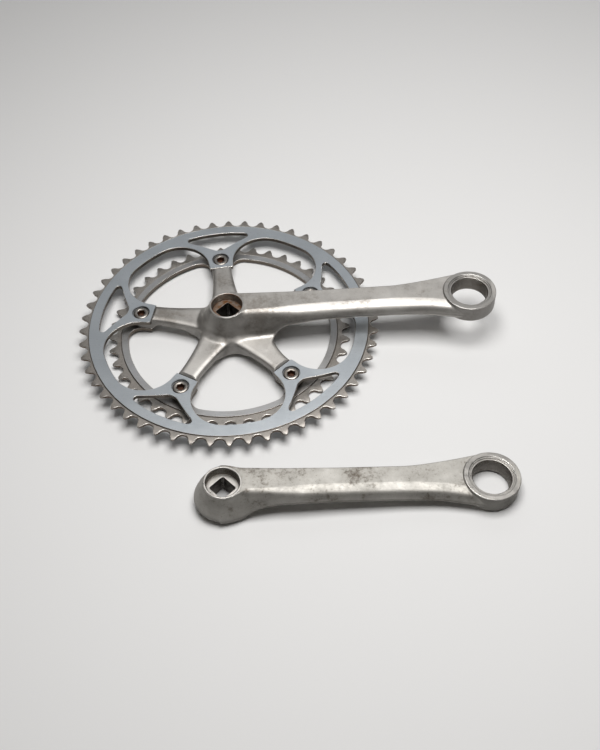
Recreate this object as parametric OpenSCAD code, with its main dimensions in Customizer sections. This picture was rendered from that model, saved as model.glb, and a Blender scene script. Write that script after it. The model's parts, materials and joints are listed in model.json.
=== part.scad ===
// Bicycle crankset: a right-hand arm forged in one with its five-legged spider, two
// chainrings held by five bolts in five sleeve nuts, and a loose left-hand arm lying beside it.
// The spindle axis is the Z axis, with +Z outboard, and Z = 0 is the front face of the outer
// ring. The right-hand arm points along +X.

/* [Arms] */
// Crank length, spindle axis to pedal axis
crank_length = 170; // [165:2.5:175]
// Height of the pedal eye's face above the boss rim
eye_rise = 6.6; // [5:0.2:8]
// Width of the arm at its waist
waist_w = 19.8; // [17:0.2:22]
// Thickness of the arm at its waist, down from the plane of the rims
bar_t = 11.6; // [10.5:0.1:12.5]
// Thickness of the pedal eye
eye_t = 12.5; // [12:0.1:14]
// Outer radius of the pedal eye
eye_r = 18.4; // [17.5:0.1:19.5]
// Radius of the pedal thread
pedal_thread_r = 12.7; // [12:0.05:13]

/* [Bosses] */
// Outer radius of the boss rim
boss_rim_r = 12.4; // [12:0.1:13]
// Radius of the boss at its shoulder, below its rim
boss_body_r = 16.6; // [16:0.1:18]
// Radius of the boss at its foot
boss_foot_r = 18.6; // [17.5:0.1:19]
// Radius of the extractor thread
extractor_r = 10.8; // [10.5:0.05:11]
// Depth of the extractor recess
recess_depth = 6.6; // [5:0.1:8]
// Distance across the flats of the square spindle hole at its outer end
taper_flats = 12.4; // [12:0.1:13]
// Height of the right-hand boss rim above the outer ring's face
right_rim_z = 18.9; // [18:0.1:21]
// Depth of the right-hand boss
right_boss_h = 31.3; // [30:0.1:34]
// Depth of the left-hand boss
left_boss_h = 21; // [20:0.5:26]

/* [Rings] */
// Number of teeth on the outer ring
outer_teeth = 52; // [51:1:53]
// Number of teeth on the inner ring
inner_teeth = 42; // [41:1:43]
// Diameter of the bolt circle
bolt_circle = 130; // [129:0.5:131]
// Angle from the right-hand arm to the first spider leg
leg_turn = 24.3; // [20:0.1:36]
// Thickness of the outer ring's web
outer_web_t = 3.2; // [3:0.1:3.6]
// Height of the inner ring's front face
inner_face_z = -8.3; // [-9:0.1:-7.8]
// Thickness of the inner ring's web
inner_web_t = 3.1; // [2.8:0.1:3.4]

/* [Left arm's place] */
// Where the middle of the left-hand boss rim lies along X
left_x = -1; // [-10:0.1:10]
// Where the middle of the left-hand boss rim lies along Y
left_y = -142.2; // [-160:0.1:-135]
// Where the middle of the left-hand boss rim lies along Z
left_z = 9.4; // [8:0.05:12]
// How far the left-hand arm tips down towards its pedal eye
left_tip = 3.92; // [0:0.02:6]
// How far the left-hand arm is turned about the vertical
left_swing = 0.4; // [-5:0.1:5]

/* [Hidden] */
legs = 5;
leg_step = 360 / legs;
half_step = leg_step / 2;
bolt_r = bolt_circle / 2;

fine = 96;            // roundness of circles, which stay true circles
cut = 0.5;            // how far a cutter runs past the face that it opens
through = 60;         // length of a cutter that goes right through

// teeth
chain_pitch = 12.7;
roller_seat_r = 4.0;
addendum = 2.05;
tooth_tip_w = 2.4;
outer_tip_turn = 1.03;
inner_tip_turn = 1.28;

// outer ring
outer_step_r = 99.7;       // where the thinner tooth band starts
outer_band_r = 90.6;       // inner edge of the solid rim
outer_corner_r = 23.1;     // corners of the arched openings
outer_corner_turn = 7.6;
outer_tooth_front = -0.7;
outer_tooth_t = 2.2;
tab_end = 55.9;            // distance of a bolt tab's straight end from the axis
tab_half = 7;
tri_apex = 74.6;           // the three-sided openings outside the bolts
tri_outer_r = 92.5;
tri_slope = 0.553;
tri_blunt = 2.6;
tri_corner_r = 2.4;

// inner ring
inner_step_r = 77.6;
inner_band_r = 72.8;
inner_corner_r = 9;
inner_corner_turn = 21.2;
inner_tooth_front = inner_face_z - 0.7;
inner_tooth_t = 2.1;
inner_back = inner_face_z - inner_web_t;

// chainring bolts and sleeve nuts
head_r = 5.5;
head_t = 1.4;
head_recess_r = 6;
head_recess_depth = 1.5;
head_edge = 0.35;
shank_r = 3.95;
shank_end = inner_back + 2;
hex_flats = 5;
hex_depth = 4.2;
sleeve_r = 4.95;
sleeve_bore_r = 4.0;
sleeve_hole_r = 5.05;
sleeve_top = -1.8;
flange_r = 6.2;
flange_t = 1.1;
flange_recess_r = 6.5;
flange_recess_depth = 1.2;
slot_w = 1.6;
slot_depth = 0.6;

// spider
lug_half = 7.2;
lug_front = -outer_web_t;
lug_back = inner_face_z;
leg_top = 1.6;
leg_back = inner_face_z;
hub_r = 19.5;
hub_top = 2.6;
relief_from = 29;              // the hollow along the back of each leg
relief_to = 53;
relief_top = -4.7;
relief_slope = 3;
web_outline = [[0, 0], [26, -20], [31.9, -18.7], [43, 10.1], [30, 12]];    // the web under the arm
root_outline = [[0, -10], [35.2, -10], [42.9, 10], [0, 10]];    // and the arm's root standing on it
root_top = 8;

// bosses and pedal eyes
taper_depth_growth = 0.035;    // growth of the spindle hole's half width per unit of depth
boss_foot = 15;                // how far the foot is below the rim
right_boss_end_r = 13.1;
left_boss_end_r = 15.2;
counterbore_r = 14.9;
counterbore_depth = 1.1;
eye_edge = 0.8;
rim_land = 0.6;                // how far the rims stand above the bar's face

function pitch_r(teeth) = chain_pitch / 2 / sin(180 / teeth);
function ramp(t) = max(0, min(1, t));

// the bar swells into the pedal eye at one end and into the boss at the other, and one of its
// long edges is a bevel that steepens towards the boss
eye_swell = 8.2;               // growth of the half width
eye_swell_length = 51;
eye_swell_end = 4;             // how far before the pedal axis the swelling ends
boss_swell = 1.2;
boss_swell_length = 70;
underside_eye_length = 50;     // length over which the underside drops to the eye's back
underside_eye_end = 10;
underside_root = [80, 60, 1.2];    // where the underside starts to drop, over what length, how far
underside_boss = [40, 30, 3];
bevel_w = 6.9;
bevel_boss = [60, 50, 3.4];        // where the bevel starts to narrow, over what length, how far
bevel_eye = [50, 40, 2];
bevel_h = 1.1;
bevel_boss_h = 6;              // further height of the bevel at the boss, which fades along the bar
bevel_fade_from = 20;
bevel_fade = 48;
flank_half = 18.4;             // half width of the bar's foot where it runs into the boss
flank_taper = 0.208;
flank_share = 0.8;
bar_edge = 1;
bar_round = 3;
bar_corner = 0.3 * bar_round;

// the bar's shape at a distance x from the boss: half width, face, underside and bevel
function to_eye(x, length, end) = ramp((x - crank_length + length + end) / length);
function to_boss(x, s) = ramp((s[0] - x) / s[1]);
function rim_line(x) = eye_rise * x / crank_length;
function bar_half(x) = waist_w / 2 + boss_swell * ramp((boss_swell_length - x) / boss_swell_length)
    + eye_swell * pow(to_eye(x, eye_swell_length, eye_swell_end), 1.4);
function flank(x) = flank_share * max(0, flank_half - flank_taper * x - bar_half(x));
function bar_top(x) = rim_line(x) - rim_land;
function bar_back(x) = rim_line(x) - bar_t
    - (eye_t - bar_t - bar_corner / 3) * to_eye(x, underside_eye_length, underside_eye_end)
    - underside_root[2] * to_boss(x, underside_root)
    - underside_boss[2] * pow(to_boss(x, underside_boss), 2);
function bevel_in(x) = bevel_w - bevel_boss[2] * pow(to_boss(x, bevel_boss), 1.5)
    - bevel_eye[2] * ramp((x - crank_length + bevel_eye[0]) / bevel_eye[1]);
function bevel_drop(x) = bevel_h + bevel_boss_h * exp((bevel_fade_from - x) / bevel_fade);
function bar_section(x) =
    let (w = bar_half(x), t = bar_top(x), b = bar_back(x), drop = bevel_drop(x), f = w + flank(x))
    [[x, w - bar_edge, t], [x, bevel_in(x) - w, t], [x, 0.6 * bar_edge - w, t - drop + 0.4 * bar_edge],
     [x, -w, t - drop - 0.8 * bar_edge], [x, -f, b + bar_round], [x, bar_corner - f, b + bar_corner],
     [x, bar_round - f, b], [x, f - bar_round, b], [x, f - bar_corner, b + bar_corner],
     [x, f, b + bar_round], [x, w, t - bar_edge]];
bar_from = 6;
bar_to = crank_length - 4;
bar_steps = 30;
bar_stations = [for (i = [0:bar_steps]) bar_from + (bar_to - bar_from) * i / bar_steps];

// half width of a spider leg at a distance from the axis
leg_spread = 0.0045;
function leg_half(r) = lug_half + leg_spread * pow(tab_end - r, 2);
leg_stations = [for (r = [tab_end:-6:14]) r];

module at_leg(i) { rotate(leg_turn + leg_step * i) children(); }
module at_legs() { for (i = [0:legs - 1]) at_leg(i) children(); }
module at_gaps() { for (i = [0:legs - 1]) rotate(leg_turn + half_step + leg_step * i) children(); }
module bore(x, r, top, depth) { translate([x, 0, top - depth]) cylinder(r = r, h = depth + cut, $fn = fine); }

// a solid through a row of closed sections
module loft(sections) {
    n = len(sections[0]);
    last = len(sections) - 1;
    sides = [for (i = [0:last - 1], j = [0:n - 1])
        let (k = (j + 1) % n, a = i * n + j, b = i * n + k, c = a + n, d = b + n)
        each [[a, c, b], [b, c, d]]];
    first_cap = [for (j = [0:n - 1]) j];
    last_cap = [for (j = [n - 1:-1:0]) last * n + j];
    polyhedron([for (s = sections) each s], concat(sides, [first_cap, last_cap]));
}

// a disc with chain teeth round it
module toothed_disc(teeth, tip_turn) {
    r = pitch_r(teeth);
    gap_half = (r + addendum) * sin(180 / teeth) - tooth_tip_w / 2;
    difference() {
        circle(r + addendum, $fn = 360);
        for (i = [0:teeth - 1]) rotate(tip_turn + (i + 0.5) * 360 / teeth) translate([r, 0]) {
            circle(roller_seat_r, $fn = fine);
            polygon([[-1, 3.8], [-1, -3.8], [addendum + cut, -gap_half - 0.3],
                     [addendum + cut, gap_half + 0.3]]);
        }
    }
}

// the arched opening between two bolt tabs, about +X
module arch(band_r, corner_r, corner_turn, side_half) {
    reach = band_r - corner_r;
    turn = half_step - corner_turn;
    middle_u = reach * cos(turn);
    side_v = reach * sin(turn) - corner_r;
    spread = tan(corner_turn) * through * 2;
    intersection() {
        circle(band_r, $fn = 180);
        polygon([[0, 0], [through * 2, -spread], [through * 2, spread]]);
    }
    for (s = [-1, 1]) scale([1, s]) {
        rotate(corner_turn) translate([reach, 0]) circle(corner_r, $fn = fine);
        rotate(half_step) polygon([[0, 0], [tab_end - 8, -side_half], [middle_u, -side_v],
            [middle_u + 1, -side_v - corner_r], [cos(half_step) * reach, -sin(half_step) * reach]]);
    }
}

// the blunt three-sided opening outside a bolt, about +X
module triangle_opening() {
    wide = (tri_outer_r - tri_apex) / tri_slope + tri_blunt;
    offset(r = tri_corner_r, $fn = 24) offset(delta = -tri_corner_r) intersection() {
        circle(tri_outer_r, $fn = 120);
        polygon([[tri_apex, -tri_blunt], [tri_apex, tri_blunt], [tri_outer_r, wide], [tri_outer_r, -wide]]);
    }
}

// the middle of a ring's web cut away, leaving its bolt tabs
module ring_middle(band_r, corner_r, corner_turn) {
    rotate(leg_turn + half_step) circle(tab_end / cos(half_step), $fn = legs);
    at_gaps() arch(band_r, corner_r, corner_turn, tab_half);
}

module outer_ring() {
    color([0.55, 0.6, 0.66]) difference() {
        union() {
            translate([0, 0, -outer_web_t]) linear_extrude(outer_web_t) circle(outer_step_r, $fn = 180);
            translate([0, 0, outer_tooth_front - outer_tooth_t]) linear_extrude(outer_tooth_t)
                toothed_disc(outer_teeth, outer_tip_turn);
        }
        translate([0, 0, -through / 2]) linear_extrude(through)
            ring_middle(outer_band_r, outer_corner_r, outer_corner_turn);
        translate([0, 0, -through / 2]) linear_extrude(through) at_legs() triangle_opening();
        at_legs() translate([bolt_r, 0, 0]) {
            bore(0, head_recess_r, 0, head_recess_depth);
            bore(0, sleeve_hole_r, 0, outer_web_t + cut);
        }
    }
}

module inner_ring() {
    color([0.62, 0.6, 0.57]) difference() {
        union() {
            translate([0, 0, inner_back]) linear_extrude(inner_web_t) circle(inner_step_r, $fn = 180);
            translate([0, 0, inner_tooth_front - inner_tooth_t]) linear_extrude(inner_tooth_t)
                toothed_disc(inner_teeth, inner_tip_turn);
        }
        translate([0, 0, -through / 2]) linear_extrude(through)
            ring_middle(inner_band_r, inner_corner_r, inner_corner_turn);
        at_legs() translate([bolt_r, 0, 0]) {
            bore(0, sleeve_hole_r, inner_face_z, inner_web_t + cut);
            translate([0, 0, inner_back - cut])
                cylinder(r = flange_recess_r, h = flange_recess_depth + cut, $fn = fine);
        }
    }
}

module chainring_bolt(i) {
    head_top = head_t - head_recess_depth;
    color([0.5, 0.45, 0.4]) at_leg(i) translate([bolt_r, 0, 0]) difference() {
        union() {
            translate([0, 0, -head_recess_depth]) cylinder(r = head_r, h = head_t - head_edge, $fn = fine);
            translate([0, 0, head_top - head_edge])
                cylinder(r1 = head_r, r2 = head_r - head_edge, h = head_edge, $fn = fine);
            translate([0, 0, shank_end])
                cylinder(r = shank_r, h = -head_recess_depth - shank_end, $fn = fine);
        }
        translate([0, 0, head_top - hex_depth])
            cylinder(r = hex_flats / 2 / cos(30), h = hex_depth + cut, $fn = 6);
    }
}

module sleeve_nut(i) {
    bottom = inner_back + flange_recess_depth - flange_t;
    color([0.6, 0.58, 0.55]) at_leg(i) translate([bolt_r, 0, 0]) difference() {
        union() {
            translate([0, 0, bottom]) cylinder(r = flange_r, h = flange_t, $fn = fine);
            translate([0, 0, bottom]) cylinder(r = sleeve_r, h = sleeve_top - bottom, $fn = fine);
        }
        translate([0, 0, bottom - cut]) cylinder(r = sleeve_bore_r, h = through, $fn = fine);
        translate([-flange_r - cut, -slot_w / 2, bottom - cut])
            cube([2 * (flange_r + cut), slot_w, slot_depth + cut]);
    }
}

// the square spindle hole, widening towards the back
module spindle_hole(boss_h) {
    depth = boss_h - recess_depth + cut;
    back_flats = taper_flats + 2 * taper_depth_growth * depth;
    translate([0, 0, -boss_h - cut]) rotate(45) hull() {
        translate([-back_flats / 2, -back_flats / 2, 0]) cube([back_flats, back_flats, 0.01]);
        translate([-taper_flats / 2, -taper_flats / 2, depth + cut])
            cube([taper_flats, taper_flats, 0.01]);
    }
}

// an arm with its boss rim's middle at the origin
module plain_arm(boss_h, end_r) {
    loft([for (x = bar_stations) bar_section(x)]);
    rotate_extrude($fn = fine) polygon([[0, 0], [boss_rim_r - 0.4, 0], [boss_rim_r, -0.4],
        [boss_rim_r + 0.4, -2], [boss_rim_r + 2.4, -5], [boss_body_r - 0.3, -8.5], [boss_body_r, -11],
        [boss_foot_r, -boss_foot], [boss_foot_r - 0.4, -boss_h + 5], [end_r + 2, -boss_h + 3.5],
        [end_r, -boss_h], [0, -boss_h]]);
    translate([crank_length, 0, eye_rise]) rotate_extrude($fn = fine) polygon([[0, 0],
        [eye_r - eye_edge, 0], [eye_r, -eye_edge], [eye_r, eye_edge - eye_t],
        [eye_r - eye_edge, -eye_t], [0, -eye_t]]);
}

module arm_holes(boss_h) {
    bore(0, extractor_r, 0, recess_depth);
    spindle_hole(boss_h);
    bore(crank_length, pedal_thread_r, eye_rise, eye_t + cut);
    bore(crank_length, counterbore_r, eye_rise, counterbore_depth);
}

module leg_outline() {
    polygon(concat([for (r = leg_stations) [r, leg_half(r)]], [[0, 14], [0, -14]],
        [for (i = [len(leg_stations) - 1:-1:0]) [leg_stations[i], -leg_half(leg_stations[i])]]));
}

// the hollow along the back of a leg, its ends sloping
module leg_relief() {
    translate([0, -through / 2, 0]) rotate([-90, 0, 0]) linear_extrude(through) polygon([
        [relief_from - relief_slope, -leg_back + cut], [relief_to + relief_slope, -leg_back + cut],
        [relief_to, -relief_top], [relief_from, -relief_top]]);
}

module spider() {
    difference() {
        translate([0, 0, leg_back]) linear_extrude(leg_top - leg_back) {
            at_legs() leg_outline();
            polygon(web_outline);
        }
        at_legs() intersection() {
            leg_relief();
            translate([0, -12, leg_back - cut]) cube([through, 24, -leg_back]);
        }
    }
    translate([0, 0, leg_back]) linear_extrude(root_top - leg_back) polygon(root_outline);
    translate([0, 0, lug_back]) linear_extrude(lug_front - lug_back) at_legs() {
        translate([tab_end - 4, -lug_half]) square([bolt_r - tab_end + 4, 2 * lug_half]);
        translate([bolt_r, 0]) circle(lug_half, $fn = fine);
    }
    translate([0, 0, leg_back]) cylinder(r1 = hub_r + 3, r2 = hub_r, h = hub_top - leg_back, $fn = fine);
}

module right_arm() {
    color([0.66, 0.64, 0.61]) difference() {
        union() {
            translate([0, 0, right_rim_z]) plain_arm(right_boss_h, right_boss_end_r);
            spider();
        }
        translate([0, 0, right_rim_z]) arm_holes(right_boss_h);
        at_legs() bore(bolt_r, sleeve_hole_r, lug_front, lug_front - lug_back + cut);
    }
}

module left_arm() {
    color([0.6, 0.58, 0.54]) translate([left_x, left_y, left_z]) rotate([0, left_tip, left_swing])
        difference() {
            plain_arm(left_boss_h, left_boss_end_r);
            arm_holes(left_boss_h);
        }
}

right_arm();
outer_ring();
inner_ring();
left_arm();
for (i = [0:legs - 1]) {
    chainring_bolt(i);
    sleeve_nut(i);
}
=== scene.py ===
"""Looks of a bicycle crankset: forged arms, a five-legged spider, two chainrings and their bolts."""

import json
import math

import bmesh
import bpy
import numpy as np
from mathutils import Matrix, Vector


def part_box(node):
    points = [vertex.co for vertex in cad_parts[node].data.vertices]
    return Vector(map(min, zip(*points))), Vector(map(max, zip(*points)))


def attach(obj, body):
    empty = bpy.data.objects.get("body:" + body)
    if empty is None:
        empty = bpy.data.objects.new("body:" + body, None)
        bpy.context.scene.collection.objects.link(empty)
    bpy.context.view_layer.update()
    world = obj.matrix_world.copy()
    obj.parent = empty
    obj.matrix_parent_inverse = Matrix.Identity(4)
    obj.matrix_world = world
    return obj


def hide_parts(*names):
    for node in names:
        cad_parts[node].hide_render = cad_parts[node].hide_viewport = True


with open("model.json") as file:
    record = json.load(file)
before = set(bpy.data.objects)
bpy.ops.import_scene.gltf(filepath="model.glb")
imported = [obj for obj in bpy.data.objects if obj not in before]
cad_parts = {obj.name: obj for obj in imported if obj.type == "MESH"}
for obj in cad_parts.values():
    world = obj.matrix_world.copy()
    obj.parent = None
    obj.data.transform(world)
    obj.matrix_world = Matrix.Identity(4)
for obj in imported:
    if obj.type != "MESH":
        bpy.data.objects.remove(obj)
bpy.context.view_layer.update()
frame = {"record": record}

import openvdb
from mathutils import Matrix, Vector
from mathutils.geometry import delaunay_2d_cdt

MM = 0.001
VOXEL = 0.6  # size of the grid that the forged shapes are skinned from
SEED = 11  # of the wear of the teeth

# ---------------------------------------------------------------- sizes, in millimetres
LEGS = 5
LEG_STEP = 360 / LEGS

# arms
RIM_R = 12.4
RIM_LAND = 0.6  # how far the boss rim and the pedal eye stand above the arm's face
BOSS_R = 16.6
BOSS_WIDEST = 11.0  # depth below the rim at which the boss is widest
RECESS_R = 10.5
RECESS_DEPTH = 6.6
EYE_R = 18.4
EYE_T = 12.5
EYE_BORE_R = 12.4
COUNTERBORE_R = 14.9
COUNTERBORE_DEPTH = 1.1
THREAD_DEPTH = 0.4
EYE_PITCH = 25.4 / 24
RECESS_PITCH = 1.0
WAIST_W = 19.8
BAR_T = 11.6
FOOT_TAPER = 0.208  # how fast the bar's foot narrows away from the boss
BEVEL_OUT = 2.0  # how far the bevelled flank bulges along the bar
BEVEL_W = 7.0
BEVEL_TILT = 26  # degrees
TAPER_FLATS = 12.4
TAPER_GROWTH = 0.035

# spider
HUB_R = 19.5
HUB_TOP = 2.6  # heights are above the outer ring's face
LEG_TOP = 1.6
LEG_BACK = -8.3
LEG_HALF = 7.2
LEG_SPREAD = 0.0028  # how fast a leg widens towards the hub
LEG_DRAFT = 0.12  # how much narrower a leg is lower down
RELIEF = 3.6  # depth of the hollow along a leg's back
ARM_SIDE_SPREAD = 0.009
LEG_END = 55.9
TAB_HALF = 7.0
LUG_FRONT = -3.2
BOLT_HOLE_R = 5.05

# teeth
OUTER_TEETH = 52
INNER_TEETH = 42
CHAIN_PITCH = 12.7
ROLLER_SEAT_R = 4.0
ADDENDUM = 2.05
TOOTH_TIP = 1.9

# chainring bolts and sleeve nuts
HEAD_R = 5.5
HEAD_TOP = -0.1
HEAD_RECESS = 6.0
HEAD_SEAT = -1.5
HEX_FLATS = 5.4
HEX_DEPTH = 4.2
SHANK_R = 3.95
SLEEVE_R = 4.95
SLEEVE_BORE_R = 4.0
SLEEVE_TOP = -1.8
FLANGE_R = 6.2
FLANGE_T = 1.1
NUT_SEAT = 1.2  # depth of the inner ring's recess for a nut's flange


def centre_of(node):
    """The middle of a CAD node, in millimetres."""
    low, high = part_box(node)
    return (low + high) / 2 / MM


bolt_centres = [centre_of(f"chainring_bolt_{i + 1}") for i in range(LEGS)]
LEG_TURN = math.degrees(math.atan2(bolt_centres[0].y, bolt_centres[0].x))
BOLT_CIRCLE_R = bolt_centres[0].xy.length
INNER_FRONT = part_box("inner_ring")[1].z / MM
INNER_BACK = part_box("inner_ring")[0].z / MM
WEB_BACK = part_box("outer_ring")[0].z / MM
BOLT_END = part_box("chainring_bolt_1")[0].z / MM
NUT_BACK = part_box("sleeve_nut_1")[0].z / MM
BOSS_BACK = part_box("right_arm")[0].z / MM
mounts = {m["name"]: m for m in frame["record"]["mounts"]}


# ---------------------------------------------------------------- meshes
GROUPS = 6  # face groups a mesh can have, each later given a material


def new_object(name, points, faces, groups=None):
    """A mesh object from points in millimetres."""
    mesh = bpy.data.meshes.new(name)
    mesh.from_pydata((np.asarray(points, float) * MM).tolist(), [], faces)
    for _ in range(GROUPS):
        mesh.materials.append(None)
    if groups is not None:
        mesh.polygons.foreach_set("material_index", groups)
    mesh.update()
    made = bpy.data.objects.new(name, mesh)
    bpy.context.scene.collection.objects.link(made)
    return made


def fix_normals(thing):
    mesh = bmesh.new()
    mesh.from_mesh(thing.data)
    bmesh.ops.recalc_face_normals(mesh, faces=mesh.faces)
    mesh.to_mesh(thing.data)
    mesh.free()
    return thing


def combine(thing, tool, operation="DIFFERENCE"):
    """Cuts tool away from thing, or joins it on, keeping each one's face groups."""
    change = thing.modifiers.new("combine", "BOOLEAN")
    change.operation = operation
    change.solver = "MANIFOLD"
    change.object = tool
    evaluated = thing.evaluated_get(bpy.context.evaluated_depsgraph_get())
    mesh = bpy.data.meshes.new_from_object(evaluated)
    thing.modifiers.clear()
    thing.data = mesh
    bpy.data.objects.remove(tool)
    return thing


def ring_of(radius, count, start=0.0):
    """Points round a circle."""
    turn = start + np.arange(count) * 2 * math.pi / count
    return np.stack([radius * np.cos(turn), radius * np.sin(turn)], 1)


def lathe(name, profile, place=(0, 0, 0), count=144, closed=False, group=0):
    """Turns a profile of (radius, height) about the vertical through place. An open profile starts
    and ends on the axis; a closed one is a ring. group may be a list, one for each stretch."""
    points, rows = [], []
    for radius, height in profile:
        on_axis = radius < 1e-6
        flat = np.zeros((1, 2)) if on_axis else ring_of(radius, count)
        rows.append(list(range(len(points), len(points) + len(flat))))
        points += [(x + place[0], y + place[1], height + place[2]) for x, y in flat]
    faces, groups = [], []
    pairs = list(zip(rows, rows[1:])) + ([(rows[-1], rows[0])] if closed else [])
    for n, (a, b) in enumerate(pairs):
        groups += [group[n] if isinstance(group, list) else group] * count
        for i in range(count):
            j = (i + 1) % count
            if len(a) == 1:
                faces.append((a[0], b[j], b[i]))
            elif len(b) == 1:
                faces.append((a[i], a[j], b[0]))
            else:
                faces.append((a[i], a[j], b[j], b[i]))
    return fix_normals(new_object(name, points, faces, groups))


def thread_cutter(name, radius, depth, pitch, low, high, place=(0, 0, 0), group=0, hand=1):
    """A solid screw that cuts a helical thread where it goes. hand is -1 for a left-hand thread."""
    count, per_turn = 96, 6
    shape = [0, 0, 0.5, 1, 1, 0.5]
    steps = int((high - low) / pitch + 1) * per_turn
    points = []
    for j in range(count):
        turn = hand * j * 2 * math.pi / count
        for i in range(steps + 1):
            r = radius + depth * shape[i % per_turn]
            height = low + pitch * (i / per_turn + j / count)
            points.append((r * math.cos(turn), r * math.sin(turn), height))
    faces = []

    def at(j, i):
        return (j % count) * (steps + 1) + i + (per_turn if j == count else 0)

    for j in range(count):
        top = steps - (per_turn if j == count - 1 else 0)
        faces += [(at(j, i), at(j + 1, i), at(j + 1, i + 1), at(j, i + 1)) for i in range(top)]
    last = count - 1
    upper = [at(j, steps) for j in range(count)] + [at(last, steps - k) for k in range(1, per_turn + 1)]
    lower = [at(j, 0) for j in range(count)] + [at(0, per_turn - k) for k in range(per_turn)]
    for rim, height in ((upper, high + pitch), (lower, low - pitch)):
        middle = len(points)
        points.append((0, 0, height))
        faces += [(middle, rim[k], rim[(k + 1) % len(rim)]) for k in range(len(rim))]
    points = np.asarray(points) + np.asarray(place)
    return fix_normals(new_object(name, points, faces, [group] * len(faces)))


def prism(name, outline, low, high, group=0):
    """A straight solid over a flat outline."""
    count = len(outline)
    points = [(x, y, z) for z in (low, high) for x, y in outline]
    faces = [tuple(range(count))[::-1], tuple(range(count, 2 * count))]
    faces += [(i, (i + 1) % count, count + (i + 1) % count, count + i) for i in range(count)]
    return fix_normals(new_object(name, points, faces, [group] * len(faces)))


def turned(points, degrees):
    """Flat points turned about the origin."""
    c, s = math.cos(math.radians(degrees)), math.sin(math.radians(degrees))
    return np.asarray(points) @ np.array([[c, s], [-s, c]])


def arc(centre, radius, start, end, count):
    """Points along an arc, angles in degrees."""
    turn = np.radians(np.linspace(start, end, count))
    return np.stack([centre[0] + radius * np.cos(turn), centre[1] + radius * np.sin(turn)], 1)


def inset(loop, distance):
    """A closed outline moved to the left of its direction by distance, corners mitred."""
    before, after = np.roll(loop, 1, 0), np.roll(loop, -1, 0)

    def left(step):
        step = step / np.maximum(np.linalg.norm(step, axis=1, keepdims=True), 1e-9)
        return np.stack([-step[:, 1], step[:, 0]], 1)

    a, b = left(loop - before), left(after - loop)
    middle = a + b
    return loop + distance * middle / np.maximum((middle * a).sum(1, keepdims=True), 0.5)


class Plate:
    """A flat part built from caps between outlines and strips down their edges."""

    def __init__(self):
        self.points, self.faces, self.groups = [], [], []

    def loop(self, flat, height):
        first = len(self.points)
        heights = np.broadcast_to(height, len(flat))
        self.points += [(x, y, z) for (x, y), z in zip(flat, heights)]
        return list(range(first, len(self.points)))

    def strips(self, stages, group, edge_group=None):
        """Loops of (outline, height), each joined to the next. The first and last strip are edges."""
        loops = [self.loop(flat, height) for flat, height in stages]
        for n, (a, b) in enumerate(zip(loops, loops[1:])):
            outer = edge_group is not None and n in (0, len(loops) - 2)
            for i in range(len(a)):
                j = (i + 1) % len(a)
                self.faces.append((a[i], a[j], b[j], b[i]))
                self.groups.append(edge_group if outer else group)
        return loops

    def cap(self, loops, group):
        """Fills the area inside the first loop and outside the others."""
        ids = [i for one in loops for i in one]
        flat = np.array([self.points[i][:2] for i in ids])
        edges, start = [], 0
        for one in loops:
            edges += [(start + i, start + (i + 1) % len(one)) for i in range(len(one))]
            start += len(one)
        found = delaunay_2d_cdt([Vector(p) for p in flat], edges, [], 1, 1e-6)
        back = [ids[origins[0]] for origins in found[3]]
        corners = np.array([[found[0][v][:2] for v in face] for face in found[2]])
        middles = corners.mean(1)
        a, b = flat[[e[0] for e in edges]], flat[[e[1] for e in edges]]
        above = (a[:, 1] > middles[:, 1:2]) != (b[:, 1] > middles[:, 1:2])
        rise = np.where(b[:, 1] == a[:, 1], 1e-12, b[:, 1] - a[:, 1])
        across = a[:, 0] + (middles[:, 1:2] - a[:, 1]) * (b[:, 0] - a[:, 0]) / rise
        inside = (above & (across > middles[:, 0:1])).sum(1) % 2 == 1
        for face, keep in zip(found[2], inside):
            if keep:
                self.faces.append(tuple(back[v] for v in face))
                self.groups.append(group)

    def build(self, name):
        return fix_normals(new_object(name, self.points, self.faces, self.groups))


# ---------------------------------------------------------------- chainrings
WEB, BARE, EDGE = 0, 1, 2
EDGE_W = 0.28


def tooth_outline(teeth, tip_turn, dice):
    """The toothed edge, with small differences in wear from tooth to tooth."""
    pitch_r = CHAIN_PITCH / 2 / math.sin(math.pi / teeth)
    step = 360 / teeth
    points = []
    for i in range(teeth):
        tip_r = pitch_r + ADDENDUM - dice.uniform(0, 0.25)
        half = math.degrees((TOOTH_TIP / 2 - dice.uniform(0, 0.15)) / tip_r)
        lean = math.degrees(dice.uniform(-0.12, 0.12) / tip_r)
        tip = tip_turn + i * step
        corners = [(-half - 0.12, -0.55), (-half + 0.12, -0.12), (-half + 0.4, 0), (half - 0.4, 0),
                   (half - 0.12, -0.12), (half + 0.12, -0.55)]
        for turn, drop in corners:
            a = math.radians(tip + lean + turn)
            points.append(((tip_r + drop) * math.cos(a), (tip_r + drop) * math.sin(a)))
        seat = tip + step / 2
        place = turned([(pitch_r, 0)], seat)[0]
        points += list(arc(place, ROLLER_SEAT_R, seat - 100, seat - 260, 15))
    return np.array(points), pitch_r


def middle_outline(band_r, corner_r, corner_turn):
    """The opening inside a ring: a straight bolt tab's end at each leg, an arch in each gap."""
    reach = band_r - corner_r
    half_step = LEG_STEP / 2
    centre = (reach * math.cos(math.radians(half_step - corner_turn)),
              reach * math.sin(math.radians(half_step - corner_turn)))
    side = TAB_HALF + (centre[1] - corner_r - TAB_HALF) * 8 / (centre[0] - LEG_END + 8)
    points = []
    for i in range(LEGS):
        leg = LEG_TURN + i * LEG_STEP
        tab = np.linspace((LEG_END, -side), (LEG_END, side), 9)
        corner = arc(centre, corner_r, 270, 360 + half_step - corner_turn, 40)
        far = arc((0, 0), band_r, half_step - corner_turn, half_step + corner_turn, 24)
        mirror = turned(corner[::-1] * (1, -1), LEG_STEP)
        points += list(turned(np.concatenate([tab, corner, far[1:-1], mirror]), leg))
    return np.array(points)


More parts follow.
